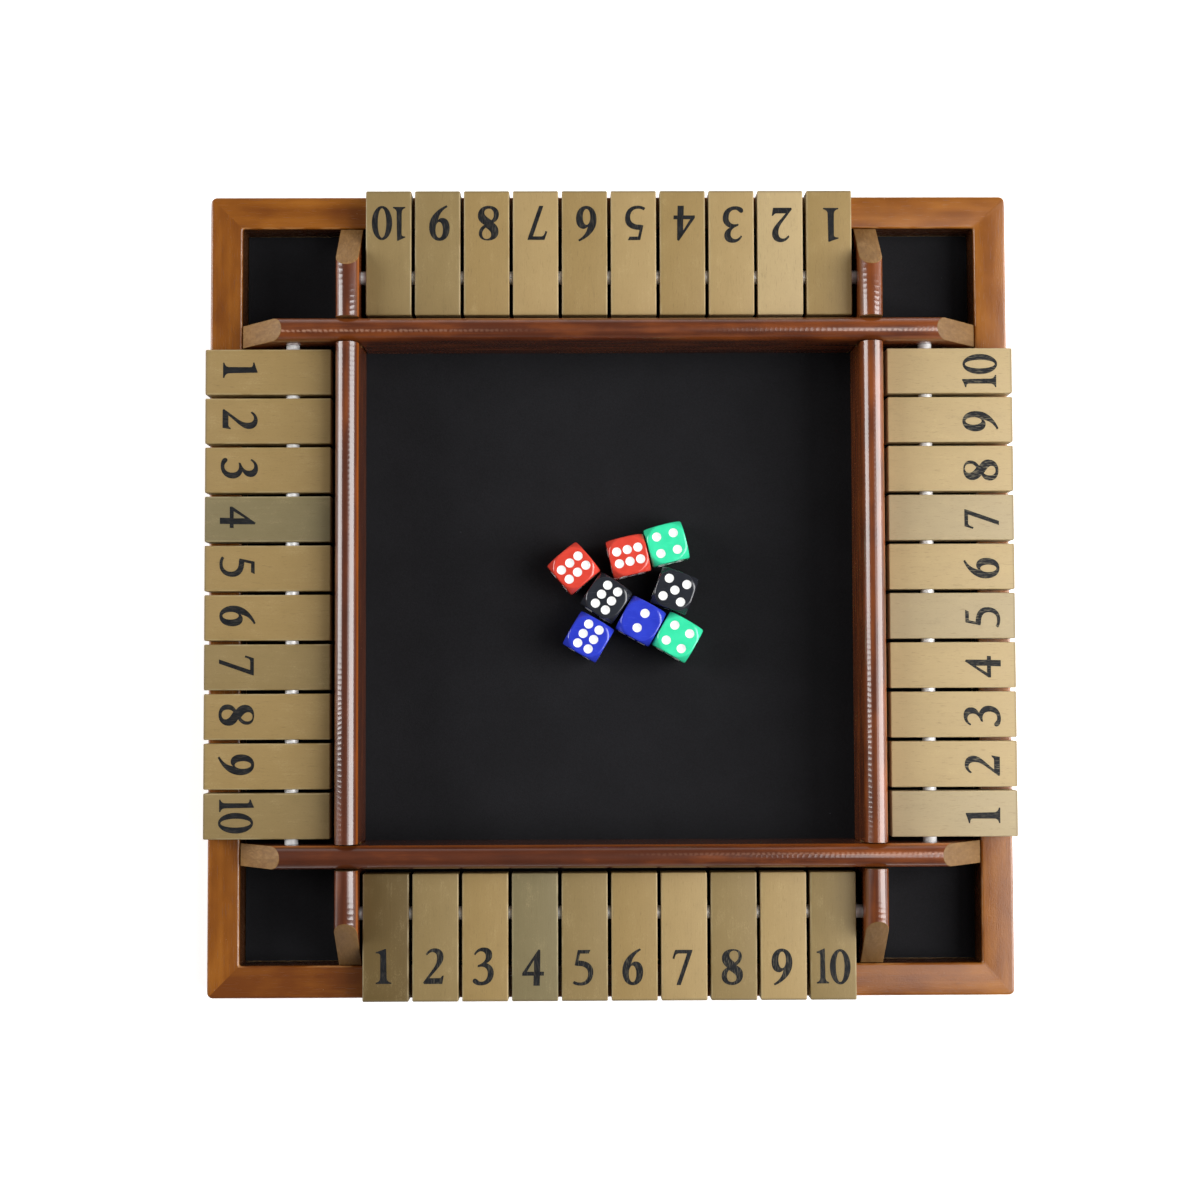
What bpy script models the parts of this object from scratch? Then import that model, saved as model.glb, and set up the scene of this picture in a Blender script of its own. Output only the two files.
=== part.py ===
"""A four-player shut the box: a square wooden tray with a felt floor, four cross-lapped rails with
rounded tops and bevelled ends, and on each side ten wooden tiles that flip inward on a steel rod.
Eight dice lie in the middle. Metres, +Z up, origin under the middle of the board."""

import math

import bmesh
import bpy
from mathutils import Matrix, Vector

# Board, seen from above
BOARD_SIDE = 0.300
RIM_WIDTH = 0.012
WELL_SIDE = 0.037
RAIL_THICK = 0.0084

# Heights
BASE_THICK = 0.003
FELT_THICK = 0.001
RIM_RISE = 0.0121
RAIL_RISE = 0.031
SEAT_GAP = 0.0003

# Rim: one ring of four mitred bars, rebated below for the base board
REBATE_WIDTH = 0.006
RIM_CORNER_ROUND = 0.0022
RIM_EASE = 0.0009
KERF_WIDTH = 0.0003
KERF_DEPTH = 0.0004

# Rails
END_SLOPE = math.radians(48)
LAP_SHARE = 0.5
LAP_CLEARANCE = 0.0006
ROD_SEAT = 0.005
BULLNOSE_STEPS = 12

# Tiles and their rods
SIDES = ("front", "left", "back", "right")
TILE_COUNT = 10
TILE_THICK = 0.009
TILE_GAP = 0.00135
ROW_END_GAP = 0.002
# How far each row has slid along its rod, in shares of the gap at its end, to its player's right
ROW_SLIDE_SHARES = {"front": -0.37, "left": 0.0, "back": 0.0, "right": 0.0}
TILE_RAIL_GAP = 0.0023
SWING_CLEARANCE = 0.0014
TILE_EASE = 0.0006
ROD_RADIUS = 0.0025
ROD_CHAMFER = 0.0004
BORE_CLEARANCE = 0.0002
ROD_SEGMENTS = 20
BORE_SEGMENTS = 14

# Dice: a cube with rounded edges, its corners turned off by a ball, its pips drilled with a blunt point
DIE_SIDE = 0.0145
DIE_EDGE_ROUND = 0.0006
DIE_CORNER_CUT = 0.0022
PIP_RADIUS = 0.00175
PIP_DEPTH = 0.0007
PIP_LEAD_IN = 0.00005
PIP_SEGMENTS = 10
SIX_ROW_PITCH = 0.00406
SIX_ROWS_APART = 0.0045
FOUR_APART = 0.0064
FIVE_APART = 0.00695
TWO_APART = 0.0061
# Middle of each die in shares of its side, right and away from the board's middle, its turn and its number
DICE_SHARES = {
    "die_red_1": ("red", -0.935, 0.655, 40.2, 6),
    "die_red_2": ("red", 0.484, 0.965, 12.9, 6),
    "die_green_1": ("green", 1.476, 1.279, 14.1, 4),
    "die_green_2": ("green", 1.745, -1.138, -30.0, 4),
    "die_blue_1": ("blue", -0.560, -1.120, 59.6, 6),
    "die_blue_2": ("blue", 0.797, -0.715, -29.0, 2),
    "die_black_1": ("black", -0.090, -0.120, 55.5, 6),
    "die_black_2": ("black", 1.672, 0.066, -20.1, 5),
}
# How the top face turns to each number's own face, opposite faces adding up to seven
FACE_TURNS = {
    6: Matrix.Identity(4),
    1: Matrix.Rotation(math.pi, 4, "X"),
    5: Matrix.Rotation(math.pi / 2, 4, "X"),
    2: Matrix.Rotation(-math.pi / 2, 4, "X"),
    3: Matrix.Rotation(math.pi / 2, 4, "Y"),
    4: Matrix.Rotation(-math.pi / 2, 4, "Y"),
}

# How far a cutter runs past what it cuts
OVERRUN = 0.002

# Sizes that follow
HALF_BOARD = BOARD_SIDE / 2
RIM_INNER = HALF_BOARD - RIM_WIDTH
RAIL_OUTER = RIM_INNER - WELL_SIDE
RAIL_LINE = RAIL_OUTER - RAIL_THICK / 2
RAIL_INNER = RAIL_OUTER - RAIL_THICK
REBATE_EDGE = RIM_INNER + REBATE_WIDTH

FELT_TOP = BASE_THICK + SEAT_GAP + FELT_THICK
RIM_TOP = FELT_TOP + RIM_RISE
RAIL_FOOT = FELT_TOP + SEAT_GAP
RAIL_CREST = FELT_TOP + RAIL_RISE
LAP_HEIGHT = RAIL_FOOT + LAP_SHARE * (RAIL_CREST - RAIL_FOOT)

TILE_LENGTH = HALF_BOARD - RAIL_OUTER - TILE_RAIL_GAP
TILE_PITCH = (2 * (RAIL_INNER - ROW_END_GAP) + TILE_GAP) / TILE_COUNT
TILE_WIDTH = TILE_PITCH - TILE_GAP
ROD_HEIGHT = RIM_TOP + SEAT_GAP + TILE_THICK / 2
# The inner end swings down past the felt, so its corner's reach from the rod stays under the rod's height
SWING_REACH = ROD_HEIGHT - FELT_TOP - SWING_CLEARANCE
INNER_ARM = math.sqrt(SWING_REACH**2 - (TILE_THICK / 2) ** 2)
ROD_LINE = RAIL_OUTER + TILE_RAIL_GAP + INNER_ARM
ROD_LENGTH = 2 * (RAIL_INNER + ROD_SEAT - SEAT_GAP)
BORE_RADIUS = (ROD_RADIUS + BORE_CLEARANCE) / math.cos(math.pi / BORE_SEGMENTS)
SEAT_RADIUS = ROD_RADIUS + SEAT_GAP


def flip_angle():
    """How far a tile turns, from lying on the rim to leaning its face on the rail's round top."""
    round_radius = RAIL_THICK / 2
    across = ROD_LINE - RAIL_LINE
    up = RAIL_CREST - round_radius - ROD_HEIGHT
    apart = math.hypot(across, up)
    lean = math.atan2(up, across) + math.asin((TILE_THICK / 2 + round_radius + SEAT_GAP) / apart)
    return math.pi - lean


def clear_scene():
    for old in list(bpy.data.objects):
        bpy.data.objects.remove(old, do_unlink=True)


def new_collection(name):
    made = bpy.data.collections.new(name)
    bpy.context.scene.collection.children.link(made)
    return made


def finish(name, red, green, blue, roughness, metallic=0.0, coat=0.0):
    """A material from a colour as a screen shows it, 0 to 255."""
    material = bpy.data.materials.new(name)
    material.use_nodes = True
    shader = material.node_tree.nodes["Principled BSDF"]
    linear = [((value / 255 + 0.055) / 1.055) ** 2.4 for value in (red, green, blue)]
    shader.inputs["Base Color"].default_value = (*linear, 1)
    shader.inputs["Roughness"].default_value = roughness
    shader.inputs["Metallic"].default_value = metallic
    shader.inputs["Coat Weight"].default_value = coat
    material.diffuse_color = (*linear, 1)
    return material


def mesh_from(bm, name, smooth_below=math.radians(35)):
    bmesh.ops.recalc_face_normals(bm, faces=bm.faces)
    mesh = bpy.data.meshes.new(name)
    bm.to_mesh(mesh)
    bm.free()
    mesh.shade_smooth()
    mesh.set_sharp_from_angle(angle=smooth_below)
    return mesh


def place(name, mesh, collection, material=None, parent=None, location=(0, 0, 0), turn=0.0):
    """An object of its own, its material on the object so that copies can share a mesh."""
    made = bpy.data.objects.new(name, mesh)
    collection.objects.link(made)
    made.parent = parent
    made.location = location
    made.rotation_euler = (0, 0, turn)
    if material:
        if not mesh.materials:
            mesh.materials.append(None)
        made.material_slots[0].link = "OBJECT"
        made.material_slots[0].material = material
    return made


def add_block(bm, low, high):
    """A box between two corners."""
    low, high = Vector(low), Vector(high)
    verts = bmesh.ops.create_cube(bm, size=1)["verts"]
    bmesh.ops.scale(bm, vec=high - low, verts=verts)
    bmesh.ops.translate(bm, vec=(low + high) / 2, verts=verts)
    return verts


def add_bar(bm, radius, length, segments, axis, centre=(0, 0, 0)):
    """A round bar along X or Y, with a flat of its outline facing up."""
    made = bmesh.ops.create_cone(
        bm, cap_ends=True, segments=segments, radius1=radius, radius2=radius, depth=length
    )
    lying = Matrix.Rotation(math.pi / 2, 4, "Y" if axis == "X" else "X")
    bmesh.ops.transform(bm, matrix=Matrix.Translation(centre) @ lying, verts=made["verts"])
    return made["verts"]


def cutter(name, bm, collection, parent=None, location=(0, 0, 0), turn=0.0):
    made = place(name, mesh_from(bm, name), collection, None, parent, location, turn)
    made.hide_render = True
    made.display_type = "WIRE"
    return made


def cut(target, tool, operation="DIFFERENCE"):
    modifier = target.modifiers.new(tool.name, "BOOLEAN")
    modifier.operation = operation
    modifier.object = tool


def settled_mesh(obj, name):
    """The object's mesh with its modifiers in it."""
    graph = bpy.context.evaluated_depsgraph_get()
    mesh = bpy.data.meshes.new_from_object(obj.evaluated_get(graph))
    mesh.name = name
    bpy.data.objects.remove(obj, do_unlink=True)
    return mesh


def make_rim(parts, cutters, material):
    """The rim's section stands in the board's diagonal plane and is spun in four steps, so that
    its corners come out mitred."""
    rebate_top = BASE_THICK + SEAT_GAP
    section = (
        (RIM_INNER, rebate_top),
        (RIM_INNER, RIM_TOP),
        (HALF_BOARD, RIM_TOP),
        (HALF_BOARD, 0),
        (REBATE_EDGE, 0),
        (REBATE_EDGE, rebate_top),
    )
    bm = bmesh.new()
    corners = [bm.verts.new((out, out, up)) for out, up in section]
    loop = [bm.edges.new((corners[i - 1], corners[i])) for i in range(len(corners))]
    bmesh.ops.spin(
        bm, geom=corners + loop, axis=(0, 0, 1), cent=(0, 0, 0), angle=2 * math.pi, steps=len(SIDES),
        use_merge=True,
    )
    bmesh.ops.remove_doubles(bm, verts=bm.verts, dist=KERF_WIDTH / 10)
    bmesh.ops.recalc_face_normals(bm, faces=bm.faces)

    def at(value, wanted):
        return abs(value - wanted) < KERF_WIDTH / 10

    outer_corners = [
        edge for edge in bm.edges
        if all(at(abs(vert.co.x), HALF_BOARD) and at(abs(vert.co.y), HALF_BOARD) for vert in edge.verts)
        and not at(edge.verts[0].co.z, edge.verts[1].co.z)
    ]
    bmesh.ops.bevel(
        bm, geom=outer_corners, offset=RIM_CORNER_ROUND, segments=3, affect="EDGES", profile=0.5, material=-1,
    )
    top_edges = [
        edge for edge in bm.edges
        if all(at(vert.co.z, RIM_TOP) for vert in edge.verts)
        and not all(at(face.normal.z, 1) for face in edge.link_faces)
    ]
    bmesh.ops.bevel(
        bm, geom=top_edges, offset=RIM_EASE, segments=2, affect="EDGES", profile=0.5, material=-1,
    )
    rim = place("rim_frame", mesh_from(bm, "rim_frame"), parts, material)

    # The glued mitres show as a fine line across each corner
    reach = HALF_BOARD * math.sqrt(2)
    for name, turn in (("rising", math.pi / 4), ("falling", -math.pi / 4)):
        bm = bmesh.new()
        add_block(
            bm,
            (-reach, -KERF_WIDTH / 2, RIM_TOP - KERF_DEPTH),
            (reach, KERF_WIDTH / 2, RIM_TOP + OVERRUN),
        )
        cut(rim, cutter(f"mitre_line_{name}", bm, cutters, turn=turn))


def make_base(parts, material):
    bm = bmesh.new()
    edge = REBATE_EDGE - SEAT_GAP
    add_block(bm, (-edge, -edge, 0), (edge, edge, BASE_THICK))
    place("base_board", mesh_from(bm, "base_board"), parts, material)


def make_felt(parts, material):
    bm = bmesh.new()
    edge = RIM_INNER - SEAT_GAP
    add_block(bm, (-edge, -edge, FELT_TOP - FELT_THICK), (edge, edge, FELT_TOP))
    place("felt_lining", mesh_from(bm, "felt_lining"), parts, material)


def rail_mesh():
    """A bar with a full bullnose on top, along X, its ends sloped down to the rim's height."""
    radius = RAIL_THICK / 2
    half_length = RIM_INNER - SEAT_GAP
    section = [(radius, RAIL_FOOT)]
    for step in range(BULLNOSE_STEPS + 1):
        angle = math.pi * step / BULLNOSE_STEPS
        section.append((radius * math.cos(angle), RAIL_CREST - radius + radius * math.sin(angle)))
    section.append((-radius, RAIL_FOOT))
    bm = bmesh.new()
    end = bm.faces.new([bm.verts.new((-half_length, across, up)) for across, up in section])
    drawn = bmesh.ops.extrude_face_region(bm, geom=[end])["geom"]
    drawn_verts = [item for item in drawn if isinstance(item, bmesh.types.BMVert)]
    bmesh.ops.translate(bm, vec=(2 * half_length, 0, 0), verts=drawn_verts)
    for side in (-1, 1):
        sliced = bmesh.ops.bisect_plane(
            bm,
            geom=bm.verts[:] + bm.edges[:] + bm.faces[:],
            plane_co=(side * half_length, 0, RIM_TOP),
            plane_no=(side * math.sin(END_SLOPE), 0, math.cos(END_SLOPE)),
            clear_outer=True,
        )["geom_cut"]
        rim_edges = [item for item in sliced if isinstance(item, bmesh.types.BMEdge)]
        bmesh.ops.edgeloop_fill(bm, edges=rim_edges)
    return mesh_from(bm, "rail")


def rail_cutter_mesh(over):
    """Two halving notches where the crossing rails pass, and two blind holes for the rods' ends."""
    bm = bmesh.new()
    half_notch = RAIL_THICK / 2 + LAP_CLEARANCE
    half_lap = SEAT_GAP / 2
    low, high = RAIL_FOOT - OVERRUN, LAP_HEIGHT + half_lap
    if not over:
        low, high = LAP_HEIGHT - half_lap, RAIL_CREST + OVERRUN
    for side in (-1, 1):
        middle = side * RAIL_LINE
        add_block(
            bm,
            (middle - half_notch, -RAIL_THICK / 2 - OVERRUN, low),
            (middle + half_notch, RAIL_THICK / 2 + OVERRUN, high),
        )
        hole_middle = RAIL_THICK / 2 + (OVERRUN - ROD_SEAT) / 2
        add_bar(bm, SEAT_RADIUS, ROD_SEAT + OVERRUN, BORE_SEGMENTS, "Y", (side * ROD_LINE, hole_middle, ROD_HEIGHT))
    return bm


def make_rails(parts, cutters, sides, material):
    plain = rail_mesh()
    for index, (name, side) in enumerate(sides.items()):
        over = index % 2 == 0
        rail = place(f"rail_{name}", plain, parts, material, side, (0, -RAIL_LINE, 0))
        tool = cutter(f"rail_cuts_{name}", rail_cutter_mesh(over), cutters, side, (0, -RAIL_LINE, 0))
        cut(rail, tool)


def rod_mesh():
    bm = bmesh.new()
    add_bar(bm, ROD_RADIUS, ROD_LENGTH, ROD_SEGMENTS, "X")
    rims = [edge for edge in bm.edges if edge.verts[0].co.x * edge.verts[1].co.x > 0]
    bmesh.ops.bevel(bm, geom=rims, offset=ROD_CHAMFER, segments=1, affect="EDGES", profile=0.5, material=-1)
    return mesh_from(bm, "rod")


def tile_mesh():
    """A flat block with its origin in the rod's bore: the long arm points out over the rim."""
    bm = bmesh.new()
    half_width, half_thick = TILE_WIDTH / 2, TILE_THICK / 2
    add_block(bm, (-half_width, INNER_ARM - TILE_LENGTH, -half_thick), (half_width, INNER_ARM, half_thick))
    bmesh.ops.bevel(
        bm, geom=bm.edges[:], offset=TILE_EASE, segments=1, affect="EDGES", profile=0.5, material=-1,
    )
    return mesh_from(bm, "tile")


def make_rows(parts, cutters, sides, wood, steel):
    """Each side's ten tiles are numbered from its own player's left, and drilled in one line."""
    tile, rod = tile_mesh(), rod_mesh()
    for name, side in sides.items():
        place(f"rod_{name}", rod, parts, steel, side, (0, -ROD_LINE, ROD_HEIGHT))
        bm = bmesh.new()
        add_bar(bm, BORE_RADIUS, 2 * RAIL_INNER, BORE_SEGMENTS, "X")
        bore = cutter(f"bore_{name}", bm, cutters, side, (0, -ROD_LINE, ROD_HEIGHT))
        for number in range(1, TILE_COUNT + 1):
            along = (number - (TILE_COUNT + 1) / 2) * TILE_PITCH + ROW_SLIDE_SHARES[name] * ROW_END_GAP
            made = place(f"tile_{name}_{number:02d}", tile, parts, wood, side, (along, -ROD_LINE, ROD_HEIGHT))
            cut(made, bore)


def pip_places():
    """Number to the middles of its pips on the face, the face seen from outside."""
    six, rows, four, five, two = (
        SIX_ROW_PITCH, SIX_ROWS_APART / 2, FOUR_APART / 2, FIVE_APART / 2, TWO_APART / 2
    )
    return {
        1: [(0, 0)],
        2: [(0, -two), (0, two)],
        3: [(-five, -five), (0, 0), (five, five)],
        4: [(x * four, y * four) for x in (-1, 1) for y in (-1, 1)],
        5: [(0, 0)] + [(x * five, y * five) for x in (-1, 1) for y in (-1, 1)],
        6: [(x * six, y * rows) for x in (-1, 0, 1) for y in (-1, 1)],
    }


def pip_cutter_mesh():
    """A drill point for every pip, its shank running out of the face."""
    bm = bmesh.new()
    over = PIP_LEAD_IN + PIP_DEPTH
    mouth = PIP_RADIUS * over / PIP_DEPTH
    for number, places in pip_places().items():
        for x, y in places:
            point = bmesh.ops.create_cone(
                bm, cap_ends=True, segments=PIP_SEGMENTS, radius1=0, radius2=mouth, depth=over
            )["verts"]
            bmesh.ops.translate(bm, vec=(x, y, DIE_SIDE / 2 + PIP_LEAD_IN - over / 2), verts=point)
            cap = max({face for vert in point for face in vert.link_faces}, key=lambda face: face.normal.z)
            shank = bmesh.ops.extrude_discrete_faces(bm, faces=[cap])["faces"][0]
            bmesh.ops.translate(bm, vec=(0, 0, OVERRUN), verts=shank.verts[:])
            whole = set(point) | set(shank.verts)
            bmesh.ops.transform(bm, matrix=FACE_TURNS[number], verts=list(whole))
    return bm


def die_mesh(cutters):
    """Lies with its six up and its rows of three along X."""
    bm = bmesh.new()
    half = DIE_SIDE / 2
    add_block(bm, (-half, -half, -half), (half, half, half))
    bmesh.ops.bevel(
        bm, geom=bm.edges[:], offset=DIE_EDGE_ROUND, segments=2, affect="EDGES", profile=0.5, material=-1,
    )
    cube = place("die_cube", mesh_from(bm, "die_cube"), cutters)
    bm = bmesh.new()
    bmesh.ops.create_icosphere(bm, subdivisions=3, radius=half * math.sqrt(3) - DIE_CORNER_CUT)
    ball = cutter("die_ball", bm, cutters)
    cut(cube, ball, "INTERSECT")
    cut(cube, cutter("die_pips", pip_cutter_mesh(), cutters))
    return settled_mesh(cube, "die")


def make_dice(parts, cutters, plastics):
    die = die_mesh(cutters)
    height = FELT_TOP + SEAT_GAP + DIE_SIDE / 2
    for name, (colour, right, away, degrees, number) in DICE_SHARES.items():
        location = (right * DIE_SIDE, away * DIE_SIDE, height)
        made = place(name, die, parts, plastics[colour], None, location)
        laid = Matrix.Rotation(math.radians(degrees), 4, "Z") @ FACE_TURNS[number].inverted()
        made.rotation_euler = laid.to_euler()


def main():
    clear_scene()
    parts = new_collection("shut_the_box")
    cutters = new_collection("cutters")
    rim_wood = finish("rim_wood", 150, 90, 42, 0.35, coat=0.5)
    rail_wood = finish("rail_wood", 97, 50, 30, 0.25, coat=0.7)
    tile_wood = finish("tile_wood", 160, 138, 98, 0.5)
    base_wood = finish("base_wood", 176, 146, 108, 0.7)
    felt = finish("black_felt", 28, 28, 30, 0.95)
    steel = finish("rod_steel", 200, 200, 205, 0.25, metallic=1.0)
    plastics = {
        "red": finish("red_plastic", 240, 60, 45, 0.2),
        "green": finish("green_plastic", 45, 220, 150, 0.2),
        "blue": finish("blue_plastic", 40, 55, 200, 0.2),
        "black": finish("black_plastic", 45, 48, 55, 0.2),
    }

    # Each side of the board is an empty, a quarter turn further to the player's left
    sides = {}
    for index, name in enumerate(SIDES):
        sides[name] = place(f"side_{name}", None, parts, turn=-index * math.pi / 2)

    make_rim(parts, cutters, rim_wood)
    make_base(parts, base_wood)
    make_felt(parts, felt)
    make_rails(parts, cutters, sides, rail_wood)
    make_rows(parts, cutters, sides, tile_wood, steel)
    make_dice(parts, cutters, plastics)
    print(f"tile {TILE_LENGTH:.5f} x {TILE_WIDTH:.5f} x {TILE_THICK:.5f} m, one every {TILE_PITCH:.5f} m")
    print(f"rod line {ROD_LINE:.5f} m out, {ROD_HEIGHT:.5f} m up, tiles flip {math.degrees(flip_angle()):.2f} degrees")


main()
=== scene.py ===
# %% [markdown]
# # Shut the box for four players
#
# The game is a square wooden tray with a felt floor. Four round-topped rails cross near its corners,
# and on each side ten wooden tiles hang on a steel rod and flip inward. This lesson loads the plain
# solids of the game as a fixed frame and makes every piece again with soft edges, grain, varnish and
# print. All lengths are in metres, and +Z is up.

# %% Load the frame
import math

import bmesh
import bpy
import numpy as np
from mathutils import Matrix, Vector, noise


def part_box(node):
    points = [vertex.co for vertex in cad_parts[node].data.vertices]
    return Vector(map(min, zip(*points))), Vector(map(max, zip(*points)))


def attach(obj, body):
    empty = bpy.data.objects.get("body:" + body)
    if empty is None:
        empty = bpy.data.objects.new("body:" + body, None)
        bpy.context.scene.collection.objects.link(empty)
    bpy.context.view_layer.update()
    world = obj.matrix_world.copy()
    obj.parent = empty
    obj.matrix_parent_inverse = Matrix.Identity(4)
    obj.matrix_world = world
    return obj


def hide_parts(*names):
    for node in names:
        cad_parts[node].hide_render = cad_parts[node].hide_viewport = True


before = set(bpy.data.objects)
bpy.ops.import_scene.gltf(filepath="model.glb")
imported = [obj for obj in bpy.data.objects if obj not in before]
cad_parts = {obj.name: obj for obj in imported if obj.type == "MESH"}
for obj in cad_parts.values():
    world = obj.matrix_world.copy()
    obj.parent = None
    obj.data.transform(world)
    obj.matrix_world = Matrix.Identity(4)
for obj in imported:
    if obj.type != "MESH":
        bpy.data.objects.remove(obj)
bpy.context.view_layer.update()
MM = 0.001

# %% [markdown]
# ## Sizes
#
# Nothing is measured twice. The box round each solid already says how wide the rim is, how high the
# rails stand and where the rods run, so a new piece that reads its size there always fits. Only what
# a box can't tell, such as the slope of a cut end, is repeated here from the model.

# %% Read the tray's sizes
rim_low, rim_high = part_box("rim_frame")
base_low, base_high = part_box("base_board")
felt_low, felt_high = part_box("felt_lining")
rail_low, rail_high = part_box("rail_front")

SEAT_GAP = rail_low.z - felt_high.z
HALF_BOARD, RIM_TOP = rim_high.x, rim_high.z
RIM_INNER = rail_high.x + SEAT_GAP
REBATE_EDGE, REBATE_TOP = base_high.x + SEAT_GAP, base_high.z + SEAT_GAP
RAIL_FOOT, RAIL_CREST = rail_low.z, rail_high.z
RAIL_THICK = rail_high.y - rail_low.y
RAIL_LINE = -(rail_high.y + rail_low.y) / 2
LAP_HEIGHT = (RAIL_FOOT + RAIL_CREST) / 2
LAP_CLEARANCE = 0.6 * MM
END_SLOPE = math.radians(48)
print(f"rim {(HALF_BOARD - RIM_INNER) / MM:.1f} wide, rails {RAIL_THICK / MM:.1f} thick, mm")

# %% Read the tiles' and the rods' sizes
SIDES = ("front", "left", "back", "right")
TILE_COUNT = 10
rod_low, rod_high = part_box("rod_front")
tile_low, tile_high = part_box("tile_front_01")

ROD_RADIUS = (rod_high.z - rod_low.z) / 2
ROD_HALF = (rod_high.x - rod_low.x) / 2
ROD_LINE = -(rod_high.y + rod_low.y) / 2
ROD_HEIGHT = (rod_high.z + rod_low.z) / 2
BORE_CLEARANCE = 0.2 * MM
TILE_THICK = tile_high.z - tile_low.z
TILE_WIDTH = tile_high.x - tile_low.x
INNER_ARM = tile_high.y + ROD_LINE
OUTER_ARM = -(tile_low.y + ROD_LINE)
print(f"tiles {(INNER_ARM + OUTER_ARM) / MM:.1f} x {TILE_WIDTH / MM:.1f} x {TILE_THICK / MM:.1f} mm")

# %% [markdown]
# ## From bmesh to a standing piece
#
# A bmesh is Blender's mesh for editing: operators draw, cut and bevel it, and at the end it becomes
# an ordinary mesh. Faces get smooth shading, and edges sharper than a chosen angle stay sharp, so a
# soft edge catches the light and a flat stays flat. The piece's place then goes into its points, and
# the object itself stays at the origin.

# %% Make a mesh of a bmesh
def mesh_of(bm, name, sharp_above=40):
    bmesh.ops.recalc_face_normals(bm, faces=bm.faces)
    mesh = bpy.data.meshes.new(name)
    bm.to_mesh(mesh)
    bm.free()
    return shaded(mesh, sharp_above)


def shaded(mesh, sharp_above=40):
    mesh.shade_smooth()
    mesh.set_sharp_from_angle(angle=math.radians(sharp_above))
    return mesh


# %% Stand a mesh in its place and let it ride
def in_scene(name, data):
    made = bpy.data.objects.new(name, data)
    bpy.context.scene.collection.objects.link(made)
    return made


def stand(name, mesh, finishes, body="tray", stands_for=(), place=Matrix.Identity(4)):
    mesh = mesh.copy()
    mesh.transform(place)
    while len(mesh.materials) < len(finishes):
        mesh.materials.append(None)
    for index, finish in enumerate(finishes):
        mesh.materials[index] = finish
    piece = in_scene(name, mesh)
    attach(piece, body)
    if stands_for:
        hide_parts(*stands_for)
    return piece


# %% Turn a piece of the front side to another side
def side_turn(side):
    """The board's sides follow each other clockwise, seen from above."""
    return Matrix.Rotation(-SIDES.index(side) * math.pi / 2, 4, "Z")


# %% Cut one mesh with another
def cut_mesh(mesh, tool, name):
    """The EXACT solver keeps both meshes' face materials, so what the tool leaves can differ."""
    blank, cutter = in_scene("blank", mesh), in_scene("cutter", tool)
    modifier = blank.modifiers.new("cut", "BOOLEAN")
    modifier.operation = "DIFFERENCE"
    modifier.solver = "EXACT"
    modifier.object = cutter
    graph = bpy.context.evaluated_depsgraph_get()
    made = bpy.data.meshes.new_from_object(blank.evaluated_get(graph))
    made.name = name
    for thing in (blank, cutter):
        bpy.data.objects.remove(thing, do_unlink=True)
    return shaded(made)


def slice_mesh(bm, place, facing, **settings):
    everything = bm.verts[:] + bm.edges[:] + bm.faces[:]
    return bmesh.ops.bisect_plane(bm, geom=everything, plane_co=place, plane_no=facing, **settings)


def add_block(bm, low, high):
    """A box between two corners."""
    low, high = Vector(low), Vector(high)
    verts = bmesh.ops.create_cube(bm, size=1)["verts"]
    bmesh.ops.scale(bm, vec=high - low, verts=verts)
    bmesh.ops.translate(bm, vec=(low + high) / 2, verts=verts)
    return verts


def add_bar(bm, radius, length, segments, axis, centre=(0, 0, 0)):
    """A round bar along X or Y."""
    verts = bmesh.ops.create_cone(
        bm, cap_ends=True, segments=segments, radius1=radius, radius2=radius, depth=length
    )["verts"]
    lying = Matrix.Rotation(math.pi / 2, 4, "Y" if axis == "X" else "X")
    bmesh.ops.transform(bm, matrix=Matrix.Translation(centre) @ lying, verts=verts)
    return verts


# %% [markdown]
# ## Wood that follows its board
#
# Grain runs along each piece, whichever way the piece lies in the tray. A material could turn the
# pattern once for each direction, but then there would be two of every wood. It is simpler to write
# each point's place on the sawn board into the mesh, length first, before the piece is turned into
# place. A number for each board shifts the noise, so that no two boards share their figure, and any
# other mark, such as a tone that changes from end to end, is one more value at each point.

# %% Write the sawn place, the board's number and other marks into a mesh
def points_of(mesh):
    points = np.empty(len(mesh.vertices) * 3, np.float32)
    mesh.vertices.foreach_get("co", points)
    return points.reshape(-1, 3)


def mark_board(mesh, number, lengthwise="X", **marks):
    sawn = points_of(mesh)
    if lengthwise == "Y":
        sawn = sawn[:, [1, 0, 2]]
    mesh.attributes.new("sawn", "FLOAT_VECTOR", "POINT").data.foreach_set("vector", sawn.ravel())
    for name, value in {"board": number, **marks}.items():
        values = np.zeros(len(mesh.vertices), np.float32) + np.float32(value)
        mesh.attributes.new(name, "FLOAT", "POINT").data.foreach_set("value", values)
    return mesh


def along_board(mesh, half_length, values):
    """Values at the board's start, middle and end, carried over to its points."""
    return np.interp(points_of(mesh)[:, 0], (-half_length, 0, half_length), values)


# %% [markdown]
# ## Shader arithmetic
#
# A material is a graph of nodes, and wiring it by hand takes three lines for every sum. One small
# class wraps a socket, so that a sum in Python adds its Math node, and one method makes any other
# node from its type, its settings and what goes into its sockets.

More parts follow.
